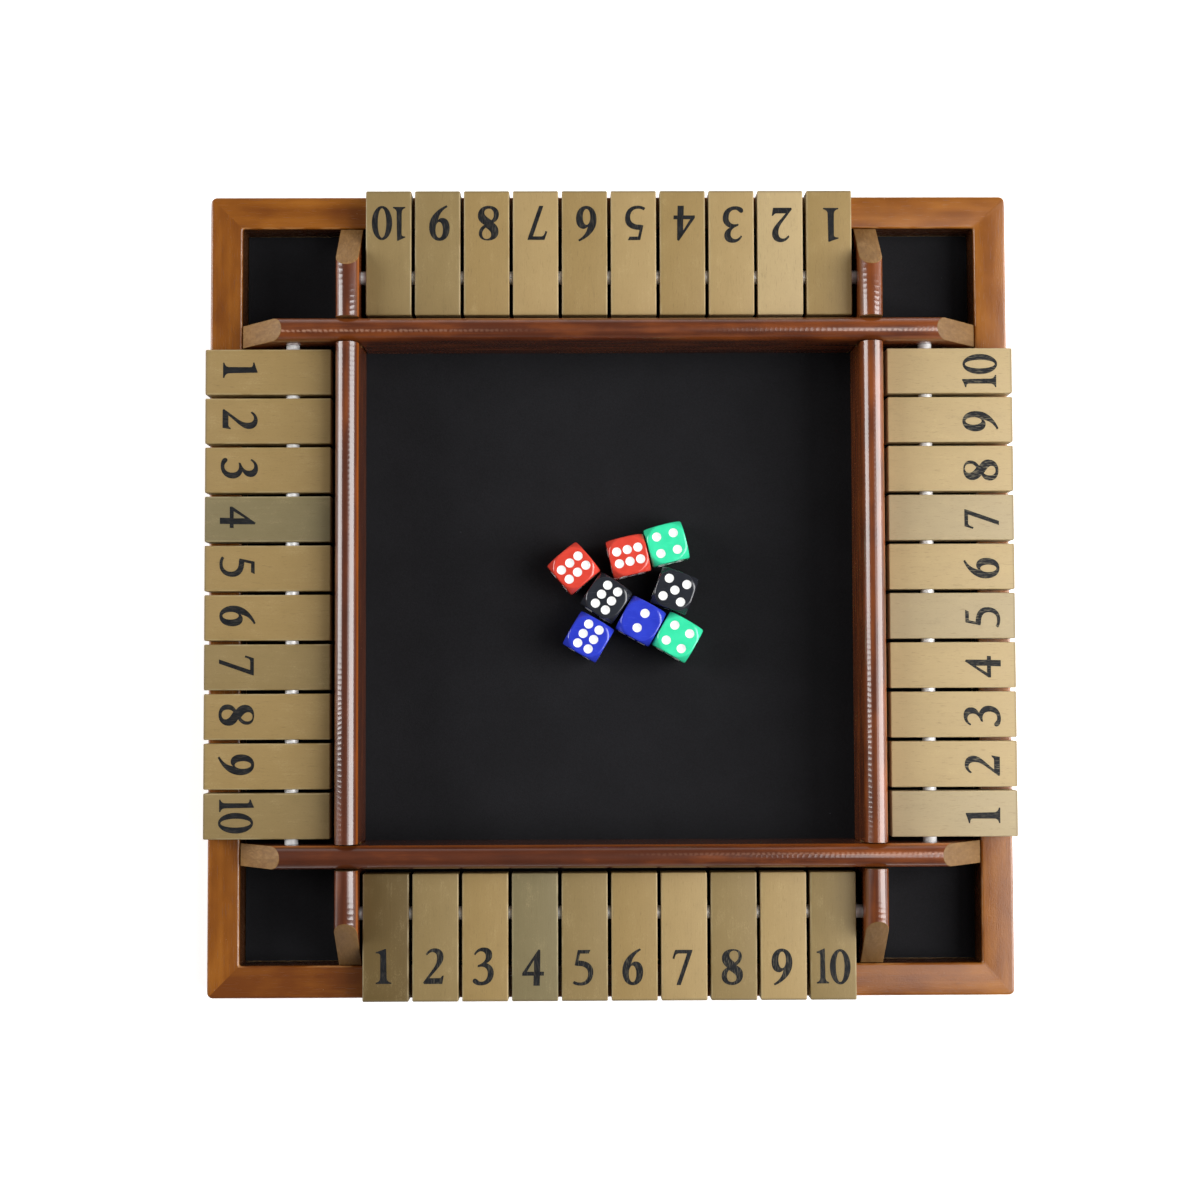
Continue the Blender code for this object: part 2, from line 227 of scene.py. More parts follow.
# %% A socket that can stand in a sum
class Wire:
    def __init__(self, tree, socket=None):
        self.tree = tree
        self.socket = socket

    def node(self, kind, inputs=(), output=0, stops=(), **settings):
        made = self.tree.nodes.new("ShaderNode" + kind)
        for name, value in settings.items():
            setattr(made, name, value)
        for index, (share, colour) in enumerate(stops):
            ramp = made.color_ramp.elements
            stop = ramp[index] if index < 2 else ramp.new(share)
            stop.position = share
            stop.color = colour
        for name, value in dict(inputs).items():
            socket = made.inputs[name]
            if isinstance(value, Wire):
                self.tree.links.new(value.socket, socket)
            else:
                socket.default_value = value
        return Wire(self.tree, made.outputs[output])

    def math(self, operation, *values):
        return self.node("Math", enumerate(values), operation=operation)

    def __add__(self, other):
        return self.math("ADD", self, other)

    def __sub__(self, other):
        return self.math("SUBTRACT", self, other)

    def __rsub__(self, other):
        return self.math("SUBTRACT", other, self)

    def __mul__(self, other):
        return self.math("MULTIPLY", self, other)

    def __abs__(self):
        return self.math("ABSOLUTE", self)

    __radd__ = __add__
    __rmul__ = __mul__

    def between(self, low, high):
        """0 up to low, 1 from high on, and a smooth step from one to the other."""
        limits = {"Value": self, "From Min": low, "From Max": high}
        return self.node("MapRange", limits, interpolation_type="SMOOTHSTEP")

    def nearing(self, edge, start, end):
        """0 up to start millimetres before an edge, and 1 from end millimetres before it."""
        return self.between(edge - start * MM, edge - end * MM)

    def ramp(self, *stops):
        """This value turned into a colour, by colours given at some of its values."""
        return self.node("ValToRGB", {0: self}, stops=stops)

    def tint(self, other, share):
        """This colour changed towards another by a share, which may vary."""
        return self.node("Mix", {0: share, 6: self, 7: other}, output=2, data_type="RGBA")


# %% [markdown]
# ## Colours and finishes
#
# Colours are written as a screen shows them, from 0 to 255, and turned into the linear values that
# light adds up in. Every finish starts as a Principled shader whose fixed values are set on its own
# sockets, and only what changes over the surface is wired.

# %% Start a finish
def paint(red, green, blue):
    return (*(((value / 255 + 0.055) / 1.055) ** 2.4 for value in (red, green, blue)), 1)


def start_finish(name, **fixed):
    """A new material, the wire that adds its nodes, and a function that feeds its shader."""
    material = bpy.data.materials.new(name)
    material.use_nodes = True
    tree = material.node_tree
    shader = tree.nodes["Principled BSDF"]
    for key, value in fixed.items():
        shader.inputs[key.replace("_", " ")].default_value = value

    def feed(**wired):
        for key, wire in wired.items():
            tree.links.new(wire.socket, shader.inputs[key.replace("_", " ")])
        return material

    return Wire(tree), feed


def relief(wires, height, depth):
    """A bump whose height runs from 0 to 1 for a depth in metres."""
    return wires.node("Bump", {"Height": height, "Distance": depth, "Strength": 1.0})


def cloud(place, sizes, seed=0.0, detail=2.0, roughness=0.5, distortion=0.0):
    """Noise whose patches have about these sizes in millimetres along the three axes."""
    pace = [1 / (size * MM) for size in sizes]
    fitted = place.node("VectorMath", {0: place, 1: pace}, operation="MULTIPLY")
    grain = {"Vector": fitted, "W": seed, "Scale": 1.0, "Detail": detail, "Roughness": roughness}
    return place.node("TexNoise", {**grain, "Distortion": distortion}, noise_dimensions="4D")


# %% Read the board's marks in a shader
def mark(wires, name):
    return wires.node("Attribute", output=2, attribute_name=name)


def board_marks(wires):
    place = wires.node("Attribute", output=1, attribute_name="sawn")
    return place, mark(wires, "board") * 3.7


def parts_of(place):
    return [place.node("SeparateXYZ", {0: place}, output=axis) for axis in range(3)]


# %% [markdown]
# ## Varnished rim
#
# The rim is a reddish brown wood under a thin satin varnish. The stain sank in unevenly, so long
# darker streaks follow each bar, fine pores run with them, and the varnish has worn thin along the
# top's inner edge, where fingers reach in. A few pale specks of dust are caught in it.

# %% Rim wood
RIM_STAINS = ((0.3, paint(106, 54, 10)), (0.5, paint(134, 76, 16)), (0.7, paint(160, 98, 30)))


def rim_wood():
    wires, feed = start_finish("rim_wood", IOR=1.55, Coat_Weight=0.3, Coat_Roughness=0.4)
    place, number = board_marks(wires)
    streak = cloud(place, (60, 3, 3), number, detail=4)
    patch = cloud(place, (18, 8, 8), number + 5)
    pore = cloud(place, (5, 0.35, 0.35), number, detail=1)
    peel = cloud(place, (0.55, 0.45, 0.45), number + 8, detail=1)
    level = streak * 0.45 + patch * 0.55 + (mark(wires, "tone") - 0.5) * 0.5
    colour = level.ramp(*RIM_STAINS)
    pores = pore.between(0.6, 0.78)
    colour = colour.tint(paint(84, 42, 16), pores * 0.4)
    across, up = parts_of(place)[1:]
    worn = across.nearing(-RIM_INNER, 0.8, 0.2) * up.nearing(RIM_TOP, 0.9, 0.4)
    worn = worn * cloud(place, (9, 2, 2), number + 9).between(0.45, 0.6)
    colour = colour.tint(paint(196, 140, 84), worn * 0.55)
    # Painted shade: the rim's inner wall below the top edge is darkened nearly to black-brown.
    painted_wall_shade = across.nearing(-RIM_INNER, 0.3, 0.1) * up.nearing(RIM_TOP, 0.7, 1.5)
    colour = colour.tint(paint(44, 22, 10), painted_wall_shade * 0.85)
    speck = cloud(place, (0.8, 0.5, 0.5), number + 2, detail=1).between(0.78, 0.83)
    colour = colour.tint(paint(225, 205, 180), speck * 0.8)
    rough = 0.24 + pores * 0.2 + (patch - 0.5) * 0.1
    bumps = relief(wires, pore * 0.3 + peel * 0.7, 0.06 * MM)
    return feed(Base_Color=colour, Roughness=rough, Normal=bumps)


rim_finish = rim_wood()
print(rim_finish.name, len(rim_finish.node_tree.nodes), "nodes")

# %% [markdown]
# ## Rim bars
#
# The rim is four bars, mitred and glued. Drawing the bar's section once in the corner and spinning
# it in four steps gives the whole ring with true mitres, and its edges can be rounded right through
# the corners. Two slanting planes then cut one bar out of the ring, and it serves for all sides.

# %% Draw the ring and cut one bar out of it
CORNER_ROUND = 2.2 * MM
INNER_FILL = 0.8 * MM
TOP_EASE = 0.9 * MM
FOOT_EASE = 0.5 * MM
GLUE_LINE = 0.004 * MM


def is_at(value, wanted):
    return abs(value - wanted) < MM / 100


def upright_edges(bm, out):
    """The upright edges on the board's diagonals, this far out."""
    return [
        edge for edge in bm.edges
        if all(is_at(abs(vert.co.x), out) and is_at(abs(vert.co.y), out) for vert in edge.verts)
        and not is_at(edge.verts[0].co.z, edge.verts[1].co.z)
    ]


def middle_reach(edge):
    """How far out an edge's middle lies, counted square to the sides."""
    return max(abs(c) for c in (edge.verts[0].co.xy + edge.verts[1].co.xy) / 2)


def level_edges(bm, height, outs):
    """The long edges at one height, at one of the given distances from the middle."""
    return [
        edge for edge in bm.edges
        if all(is_at(vert.co.z, height) for vert in edge.verts)
        and not all(abs(face.normal.z) > 0.99 for face in edge.link_faces)
        and any(abs(middle_reach(edge) - out) < CORNER_ROUND for out in outs)
    ]


def soften(bm, edges, width, segments):
    bmesh.ops.bevel(
        bm, geom=edges, offset=width, segments=segments, affect="EDGES", profile=0.5, material=-1
    )


def rim_bar():
    section = (
        (RIM_INNER, REBATE_TOP),
        (RIM_INNER, RIM_TOP),
        (HALF_BOARD, RIM_TOP),
        (HALF_BOARD, 0),
        (REBATE_EDGE, 0),
        (REBATE_EDGE, REBATE_TOP),
    )
    bm = bmesh.new()
    corners = [bm.verts.new((out, out, up)) for out, up in section]
    loop = [bm.edges.new((corners[i - 1], corners[i])) for i in range(len(corners))]
    bmesh.ops.spin(
        bm, geom=corners + loop, axis=(0, 0, 1), cent=(0, 0, 0), angle=2 * math.pi, steps=len(SIDES),
        use_merge=True,
    )
    bmesh.ops.remove_doubles(bm, verts=bm.verts, dist=MM / 100)
    bmesh.ops.recalc_face_normals(bm, faces=bm.faces)
    soften(bm, upright_edges(bm, HALF_BOARD), CORNER_ROUND, 8)
    inner = [e for e in upright_edges(bm, RIM_INNER) if max(v.co.z for v in e.verts) > REBATE_TOP]
    soften(bm, inner, INNER_FILL, 6)
    bm.normal_update()
    soften(bm, level_edges(bm, RIM_TOP, (HALF_BOARD, RIM_INNER)), TOP_EASE, 4)
    bm.normal_update()
    soften(bm, level_edges(bm, 0, (HALF_BOARD,)), FOOT_EASE, 2)
    for slant in (1, -1):
        slice_mesh(bm, (0, -GLUE_LINE, 0), (slant, 1, 0), clear_outer=True)
    bmesh.ops.holes_fill(bm, edges=[edge for edge in bm.edges if edge.is_boundary], sides=0)
    return mesh_of(bm, "rim_bar")


bar = rim_bar()
print("rim bar:", len(bar.polygons), "faces")

# %% Stand the four bars
# Each bar's tone at its start, middle and end. Seen from above, each bar runs anticlockwise, so the
# front bar starts at the left.
RIM_TONES = {
    "front": (0.15, 0.35, 0.55),
    "left": (0.5, 0.47, 0.44),
    "back": (0.6, 0.52, 0.48),
    "right": (0.58, 0.6, 0.62),
}
for index, side in enumerate(SIDES):
    tone = along_board(bar, HALF_BOARD, RIM_TONES[side])
    marked = mark_board(bar.copy(), index + 1, tone=tone)
    stand(f"rim_bar_{side}", marked, [rim_finish], stands_for=["rim_frame"],
          place=side_turn(side))

# %% [markdown]
# ## Base board
#
# Under the felt lies a thin board, let into the rim from below. It is only seen when the game is
# turned over: pale raw wood with long soft figure and, on its edges, the lines of its three plies.

# %% Base board
def base_wood():
    wires, feed = start_finish("base_wood", Specular_IOR_Level=0.3)
    place, number = board_marks(wires)
    figure = cloud(place, (180, 12, 60), number, detail=4, distortion=0.6)
    pore = cloud(place, (4, 0.3, 0.3), number, detail=1)
    colour = figure.ramp((0.3, paint(160, 126, 86)), (0.7, paint(196, 164, 120)))
    ply = abs(parts_of(place)[2] - base_high.z / 2).between(0.6 * MM, 0.45 * MM)
    colour = colour.tint(paint(140, 104, 68), ply * 0.5 + pore.between(0.6, 0.8) * 0.3)
    return feed(Base_Color=colour, Roughness=0.62 + pore * 0.2, Normal=relief(wires, pore, 0.05 * MM))


BASE_EASE = 0.4 * MM


def base_mesh():
    bm = bmesh.new()
    edge = base_high.x
    add_block(bm, (-edge, -edge, base_low.z), (edge, edge, base_high.z))
    soften(bm, bm.edges[:], BASE_EASE, 2)
    return mark_board(mesh_of(bm, "base_board"), 9)


stand("base_board_dressed", base_mesh(), [base_wood()], stands_for=["base_board"])
print("base board", round(2 * base_high.x / MM, 1), "mm square")

# %% [markdown]
# ## Felt
#
# The floor is a square of black felt, glued down. Felt has no weave: short fibres lie in every
# direction, so the black is broken by a fine dull mottle and a little lint. A fine grid, lifted and
# dropped by a few hundredths of a millimetre, keeps it from looking like a painted plate.

# %% Felt
def felt_finish():
    wires, feed = start_finish(
        "black_felt", Specular_IOR_Level=0.2, Sheen_Weight=0.04, Sheen_Roughness=0.4
    )
    place = wires.node("TexCoord", output=3)
    fibre = cloud(place, (0.5, 0.5, 0.5), detail=3, roughness=0.7)
    patch = cloud(place, (22, 22, 22), 3.0)
    lint = cloud(place, (1.4, 0.6, 1), 8.0, detail=1).between(0.8, 0.85)
    level = fibre * 0.7 + patch * 0.3
    colour = level.ramp((0.3, paint(16, 16, 18)), (0.75, paint(31, 31, 34)))
    colour = colour.tint(paint(96, 96, 104), lint * 0.6)
    return feed(Base_Color=colour, Roughness=0.86 + fibre * 0.14, Normal=relief(wires, fibre, 0.12 * MM))


FELT_CELLS = 120
FELT_WAVE, FELT_WAVE_LENGTH = 0.06 * MM, 5 * MM


def felt_mesh():
    bm = bmesh.new()
    edge = felt_high.x
    add_block(bm, (-edge, -edge, felt_low.z), (edge, edge, felt_high.z - FELT_WAVE))
    level = [e for e in bm.edges if is_at(e.verts[0].co.z, e.verts[1].co.z)]
    bmesh.ops.subdivide_edges(bm, edges=level, cuts=FELT_CELLS - 1, use_grid_fill=True)
    for vert in bm.verts:
        if vert.co.z > felt_low.z + FELT_WAVE:
            vert.co.z += FELT_WAVE * noise.noise(vert.co / FELT_WAVE_LENGTH)
    return mesh_of(bm, "felt")


felt = stand("felt_sheet", felt_mesh(), [felt_finish()], stands_for=["felt_lining"])
print("felt cut to", round(2 * felt_high.x / MM, 1), "mm square")

# %% [markdown]
# ## Rail varnish and bare ends
#
# The rails have a darker, glossier varnish. The planer's knives left a fine ripple across the bar,
# which breaks the long reflections into beads. One shoulder of each rail has a painted orange glow
# of light, and the front and back rails carry a painted highlight, a thin beaded pale line near the
# crest. The ends were sawn after varnishing, so there the bare wood shows, with its pores end on,
# and one end of each rail is darkened with painted shade.

# %% Rail wood
RAIL_STAINS = ((0.3, paint(64, 26, 8)), (0.5, paint(86, 38, 12)), (0.8, paint(150, 76, 22)))
KNIFE_PITCH = 1.9 * MM
PAINTED_GLOW_FADE, PAINTED_GLOW_START = (2.4 * MM, 0.3 * MM), (1.2 * MM, 3 * MM)


def rail_wood():
    wires, feed = start_finish("rail_wood", IOR=1.65, Coat_Weight=0.5, Coat_Roughness=0.45)
    place, number = board_marks(wires)
    along, across, up = parts_of(place)
    streak = cloud(place, (50, 2.5, 2.5), number, detail=3)
    patch = cloud(place, (14, 5, 5), number + 4)
    level = streak * 0.5 + patch * 0.35 + (mark(wires, "tone") - 0.5) * 0.5 + 0.08
    colour = level.ramp(*RAIL_STAINS)
    # Painted light: the shoulder turned toward the stronger lamp gets an orange glow.
    painted_lit_shoulder = abs(up - (RAIL_CREST - RAIL_THICK / 2)).between(*PAINTED_GLOW_FADE)
    painted_lit_shoulder = painted_lit_shoulder * (across * mark(wires, "lit")).between(*PAINTED_GLOW_START)
    colour = colour.tint(paint(196, 104, 24), painted_lit_shoulder * 0.65)
    nick = cloud(place, (2.0, 0.9, 0.9), number + 12, detail=2).between(0.76, 0.8)
    colour = colour.tint(paint(176, 120, 76), nick * 0.5)
    wander = cloud(place, (30, 6, 6), number + 14)
    strokes = along * (1 / KNIFE_PITCH) + wander * 3
    scallop = strokes.math("FRACT", strokes) - 0.5
    # Painted highlight: a thin pale line just beside the crest, beaded by the knife ripple.
    chatter = cloud(place, (1.3, 0.8, 0.8), number + 15, detail=2)
    scuff = abs(across - 1 * MM + (chatter - 0.5) * MM).between(0.7 * MM, 0.1 * MM)
    scuff = scuff * (1 - abs(scallop) + chatter - 0.5).between(0.45, 0.9) * mark(wires, "scuffed")
    colour = colour.tint(paint(205, 160, 134), scuff * 0.6)
    dimple = cloud(place, (1.6, 1.6, 1.6), number + 7, detail=1)
    rough = 0.1 + patch * 0.06 + nick * 0.3
    bumps = relief(wires, scallop * scallop * 4 + dimple * 0.4 - nick * 0.4, 0.022 * MM)
    return feed(Base_Color=colour, Roughness=rough, Normal=bumps)


# %% Bare sawn ends
BARE_STAINS = ((0.3, paint(122, 86, 44)), (0.55, paint(138, 102, 57)), (0.8, paint(158, 120, 74)))


def bare_wood():
    wires, feed = start_finish("bare_end_wood", Specular_IOR_Level=0.3)
    place, number = board_marks(wires)
    growth = cloud(place, (30, 1.4, 3), number, detail=2, distortion=1.2)
    pore = cloud(place, (0.5, 0.3, 0.3), number + 3, detail=1)
    saw = cloud(place, (0.5, 12, 0.5), number + 6, detail=1)
    colour = growth.ramp(*BARE_STAINS)
    pores = pore.between(0.6, 0.75)
    colour = colour.tint(paint(108, 74, 42), pores * 0.35)
    # Painted shade: the sawn end on one side of each rail is darkened.
    painted_end_shade = (parts_of(place)[0] * mark(wires, "lit")).between(0, 1 * MM)
    colour = colour.tint(paint(86, 62, 34), painted_end_shade * 0.45)
    bumps = relief(wires, saw + pore * 0.5, 0.05 * MM)
    return feed(Base_Color=colour, Roughness=0.5 + pores * 0.2, Normal=bumps)


rail_finishes = [rail_wood(), bare_wood()]
print("rail finishes:", [finish.name for finish in rail_finishes])

# %% [markdown]
# ## Rails
#
# A rail is a straight bar with a fully rounded top, sloped off at both ends down to the rim. Its
# section is one face, drawn out along X and trimmed by two tilted planes, with a few cuts across it
# whose points carry the tones. Where two rails cross, each gives up half its height: the front and
# back rails are notched below, the others above, and the rods' ends sit in blind holes. These are cut
# with a Boolean, which leaves true corners.

# %% Draw one rail
BULLNOSE_STEPS = 32
TONE_STATION_SHARES = (-0.5, -0.25, 0, 0.25, 0.5)
END_ARRIS = 0.22 * MM


def is_sawn_end(face):
    """The face lies on one of the two sloped cuts or on the small arris round it."""
    centre = face.calc_center_median()
    slope = Vector((math.copysign(math.sin(END_SLOPE), centre.x), 0, math.cos(END_SLOPE)))
    edge = Vector((math.copysign(RIM_INNER - SEAT_GAP, centre.x), 0, RIM_TOP))
    return (centre - edge).dot(slope) > -END_ARRIS * 0.8


def rail_blank():
    radius = RAIL_THICK / 2
    half_length = RIM_INNER - SEAT_GAP
    section = [(radius, RAIL_FOOT)]
    for step in range(BULLNOSE_STEPS + 1):
        angle = math.pi * step / BULLNOSE_STEPS
        section.append((radius * math.cos(angle), RAIL_CREST - radius + radius * math.sin(angle)))
    section.append((-radius, RAIL_FOOT))
    bm = bmesh.new()
    end = bm.faces.new([bm.verts.new((-half_length, across, up)) for across, up in section])
    drawn = bmesh.ops.extrude_face_region(bm, geom=[end])["geom"]
    far_end = [item for item in drawn if isinstance(item, bmesh.types.BMVert)]
    bmesh.ops.translate(bm, vec=(2 * half_length, 0, 0), verts=far_end)
    for side in (-1, 1):
        facing = (side * math.sin(END_SLOPE), 0, math.cos(END_SLOPE))
        sliced = slice_mesh(bm, (side * half_length, 0, RIM_TOP), facing, clear_outer=True)
        around = [item for item in sliced["geom_cut"] if isinstance(item, bmesh.types.BMEdge)]
        bmesh.ops.edgeloop_fill(bm, edges=around)
        bmesh.ops.recalc_face_normals(bm, faces=bm.faces)
        soften(bm, around, END_ARRIS, 2)
    for share in TONE_STATION_SHARES:
        slice_mesh(bm, (share * half_length, 0, 0), (1, 0, 0))
    for face in bm.faces:
        face.material_index = int(is_sawn_end(face))
    return mesh_of(bm, "rail_blank", sharp_above=30)


blank = rail_blank()
bare_faces = sum(face.material_index for face in blank.polygons)
print("rail blank:", len(blank.polygons), "faces,", bare_faces, "of them bare")

# %% Notch the rails and drill them
ROD_SEAT = 5 * MM
RUN_OUT = 2 * MM


def rail_tool(over):
    bm = bmesh.new()
    half_notch = RAIL_THICK / 2 + LAP_CLEARANCE
    low, high = RAIL_FOOT - RUN_OUT, LAP_HEIGHT + SEAT_GAP / 2
    if not over:
        low, high = LAP_HEIGHT - SEAT_GAP / 2, RAIL_CREST + RUN_OUT
    for side in (-1, 1):
        middle = side * RAIL_LINE
        add_block(
            bm, (middle - half_notch, -RAIL_THICK / 2 - RUN_OUT, low),
            (middle + half_notch, RAIL_THICK / 2 + RUN_OUT, high),
        )
        hole = (side * ROD_LINE, RAIL_THICK / 2 + (RUN_OUT - ROD_SEAT) / 2, ROD_HEIGHT)
        add_bar(bm, ROD_RADIUS + SEAT_GAP, ROD_SEAT + RUN_OUT, 32, "Y", hole)
    for face in bm.faces:
        face.material_index = 1
    tool = mesh_of(bm, "rail_tool")
    for finish in rail_finishes:
        tool.materials.append(finish)
    return tool


# Tones and the painted highlight line run along each rail as the tones do on the rim. The shoulder
# with painted light is the inner one, 1, or the outer one, -1, and the same sign picks the bare end
# that gets painted shade.
RAIL_TONES = {
    "front": (0.35, 0.4, 0.75),
    "left": (0.5, 0.45, 0.45),
    "back": (0.72, 0.5, 0.65),
    "right": (0.6, 0.65, 0.7),
}
RAIL_PAINTED_HIGHLIGHTS = {"front": (0, 0, 0.7), "left": (0, 0, 0), "back": (0.7, -0.2, 1), "right": (0, 0, 0)}
LIT_SHOULDER = {"front": 1, "left": 1, "back": -1, "right": -1}
for index, side in enumerate(SIDES):
    body = blank.copy()
    for finish in rail_finishes:
        body.materials.append(finish)
    notched = cut_mesh(body, rail_tool(over=index % 2 == 0), f"rail_{side}")
    tone = along_board(notched, RIM_INNER, RAIL_TONES[side])
    scuffed = along_board(notched, RIM_INNER, RAIL_PAINTED_HIGHLIGHTS[side])
    mark_board(notched, 20 + index, tone=tone, scuffed=scuffed, lit=LIT_SHOULDER[side])
    stand(f"rail_{side}_varnished", notched, rail_finishes,
          stands_for=[f"rail_{side}"],
          place=side_turn(side) @ Matrix.Translation((0, -RAIL_LINE, 0)))

# %% [markdown]
# ## Rods
#
# Each row turns on one bright drawn rod, and its ends disappear in the rails. Between the tiles only
# a short stretch shows, but it flashes white there, so it is a round bar with real chamfered ends
# and the faint lengthwise lines of drawn steel.

# %% Rod steel
def rod_steel():
    wires, feed = start_finish("rod_steel", Metallic=0.2)
    place, number = board_marks(wires)
    line = cloud(place, (40, 0.2, 0.2), number, detail=2)
    stain = cloud(place, (6, 3, 3), number + 1)
    colour = stain.ramp((0.3, paint(238, 237, 235)), (0.7, paint(252, 252, 252)))
    return feed(Base_Color=colour, Roughness=0.36 + line * 0.14, Normal=relief(wires, line, 0.004 * MM))


ROD_CHAMFER = 0.4 * MM


def rod_mesh():
    bm = bmesh.new()
    add_bar(bm, ROD_RADIUS, 2 * ROD_HALF, 48, "X")
    rims = [edge for edge in bm.edges if edge.verts[0].co.x * edge.verts[1].co.x > 0]
    soften(bm, rims, ROD_CHAMFER, 2)
    return mesh_of(bm, "rod")


rod, steel = rod_mesh(), rod_steel()
for index, side in enumerate(SIDES):
    marked = mark_board(rod.copy(), 30 + index)
    stand(f"rod_{side}_steel", marked, [steel], stands_for=[f"rod_{side}"],
          place=side_turn(side) @ Matrix.Translation((0, -ROD_LINE, ROD_HEIGHT)))
print("rods:", len(rod.polygons), "faces each")

# %% [markdown]
# ## Tile wood
#
# The tiles are small blocks of a pale wood, each from another board: some golden, some tan, some
# grey with a green cast. Under a thin matt lacquer the colour is softly mottled, with faint grain
# along the block. The long edges are paler, partly from rubbed wear and partly as a painted
# highlight, and the outer end is a little darker.

# %% Tile wood
TILE_STAINS = {
    "umber": paint(98, 79, 42),
    "olive": paint(122, 110, 77),
    "tan": paint(136, 115, 73),
    "gold": paint(149, 124, 77),
    "pale": paint(163, 138, 92),
    "sand": paint(178, 155, 112),
    "ash": paint(170, 152, 117),
}
TILE_TONES = {word: index / (len(TILE_STAINS) - 1) for index, word in enumerate(TILE_STAINS)}


def tile_wood():
    wires, feed = start_finish("tile_wood", Specular_IOR_Level=0.4)
    place, number = board_marks(wires)
    mottle = cloud(place, (9, 5, 5), number, detail=3, roughness=0.6)
    grain = cloud(place, (22, 0.7, 0.7), number + 2, detail=3)
    pore = cloud(place, (2.4, 0.22, 0.22), number + 4, detail=1)
    fleck = cloud(place, (0.6, 0.35, 0.35), number + 8, detail=2)
    stops = [(TILE_TONES[word], colour) for word, colour in TILE_STAINS.items()]
    colour = mark(wires, "tone").ramp(*stops)
    light = (mottle - 0.5) * 0.7 + (grain - 0.5) * 0.3 + (fleck - 0.5) * 0.5
    colour = colour.tint(paint(226, 204, 150), light.between(0, 1) * 0.9)
    colour = colour.tint(paint(52, 44, 28), light.between(0, -1) * 0.9)
    along, across, up = parts_of(place)
    pores = pore.between(0.6, 0.76)
    colour = colour.tint(paint(112, 92, 58), pores * 0.35)
    # The pale long edges are partly rubbed wear and partly painted highlight.
    long_edge = abs(across).nearing(TILE_WIDTH / 2, 0.75, 0.25) * up.nearing(TILE_THICK / 2, 1, 0.4)
    wear_and_highlight = cloud(place, (7, 3, 3), number + 6).between(0.35, 0.6)
    colour = colour.tint(paint(206, 190, 150), long_edge * wear_and_highlight * 0.25)
    outer_end = along.nearing(-OUTER_ARM, -1.1, -0.3)
    colour = colour.tint(paint(104, 92, 62), outer_end * 0.5)
    bumps = relief(wires, grain * 0.6 + pore * 0.4, 0.05 * MM)
    return feed(Base_Color=colour, Roughness=0.52 + (mottle - 0.5) * 0.2 + pores * 0.15, Normal=bumps)


tile_finish = tile_wood()
print(tile_finish.name, len(tile_finish.node_tree.nodes), "nodes")

# %% [markdown]
# ## Tiles
#
# One block serves for all forty. It is a box with eased edges, drilled across for the rod, with its
# origin in the bore, because that is where it turns. Each copy gets its own board number and tone,
# listed for each side of the game, and rides on the body of its own solid tile.

# %% Draw the tile
TILE_EASE = 0.5 * MM


def tile_mesh():
    bm = bmesh.new()
    half_width, half_thick = TILE_WIDTH / 2, TILE_THICK / 2
    add_block(bm, (-half_width, -OUTER_ARM, -half_thick), (half_width, INNER_ARM, half_thick))
    soften(bm, bm.edges[:], TILE_EASE, 4)
    drill = bmesh.new()
    add_bar(drill, ROD_RADIUS + BORE_CLEARANCE, TILE_WIDTH + 2 * RUN_OUT, 40, "X")
    return cut_mesh(mesh_of(bm, "tile_block"), mesh_of(drill, "drill"), "tile")


tile = tile_mesh()
print("tile:", len(tile.polygons), "faces")

# %% Stand the forty tiles
TILE_WORDS = {
    "front": "umber tan gold olive tan gold pale tan pale tan",
    "left": "gold gold gold olive gold gold tan gold gold tan",
    "back": "gold sand pale gold pale gold pale gold tan tan",
    "right": "ash sand sand sand ash sand ash sand sand sand",
}
tile_places = {}
for row, side in enumerate(SIDES):
    for number, word in enumerate(TILE_WORDS[side].split(), 1):
        node = f"tile_{side}_{number:02d}"
        low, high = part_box(node)
        middle = side_turn(side).inverted() @ ((low + high) / 2)
        place = side_turn(side) @ Matrix.Translation((middle.x, -ROD_LINE, ROD_HEIGHT))
        board = 100 + row * TILE_COUNT + number
        marked = mark_board(tile.copy(), board, lengthwise="Y", tone=TILE_TONES[word])
        stand(node + "_block", marked, [tile_finish], body=node,
              stands_for=[node], place=place)
        tile_places[node] = (number, place)
print(len(tile_places), "tiles stand")

# %% [markdown]
# ## Numerals
#
# The numbers are printed in dark ink, in an old-style bold face with swelling curves. A font file
# can't be taken along, and the built-in one has no such curves, so each numeral is drawn once as a
# few Bezier curves: a row of two numbers is a straight stroke to that point, a row of six is a
# curve with its two handles. The unit is a millimetre, from the numeral's left foot.

# %% Draw the outlines
def oval(x, y, half_width, half_height):
    """A closed oval in four curves, begun at its right."""
    swell = 0.5523
    turns = ((1, 0), (0, 1), (-1, 0), (0, -1), (1, 0))
    rows = [(x + half_width, y)]
    for (ax, ay), (bx, by) in zip(turns, turns[1:]):
        rows.append((
            x + half_width * (ax + swell * bx), y + half_height * (ay + swell * by),
            x + half_width * (bx + swell * ax), y + half_height * (by + swell * ay),
            x + half_width * bx, y + half_height * by,
        ))
    return rows


def half_turned(outlines, width, height):
    """The same outlines turned upside down in their box."""
    box = (width, height)
    return [
        [tuple(box[i % 2] - value for i, value in enumerate(row)) for row in rows]
        for rows in outlines
    ]


def narrowed(outlines, share):
    """The same outlines at a share of their width."""
    scales = (share, 1)
    return [
        [tuple(value * scales[i % 2] for i, value in enumerate(row)) for row in rows]
        for rows in outlines
    ]


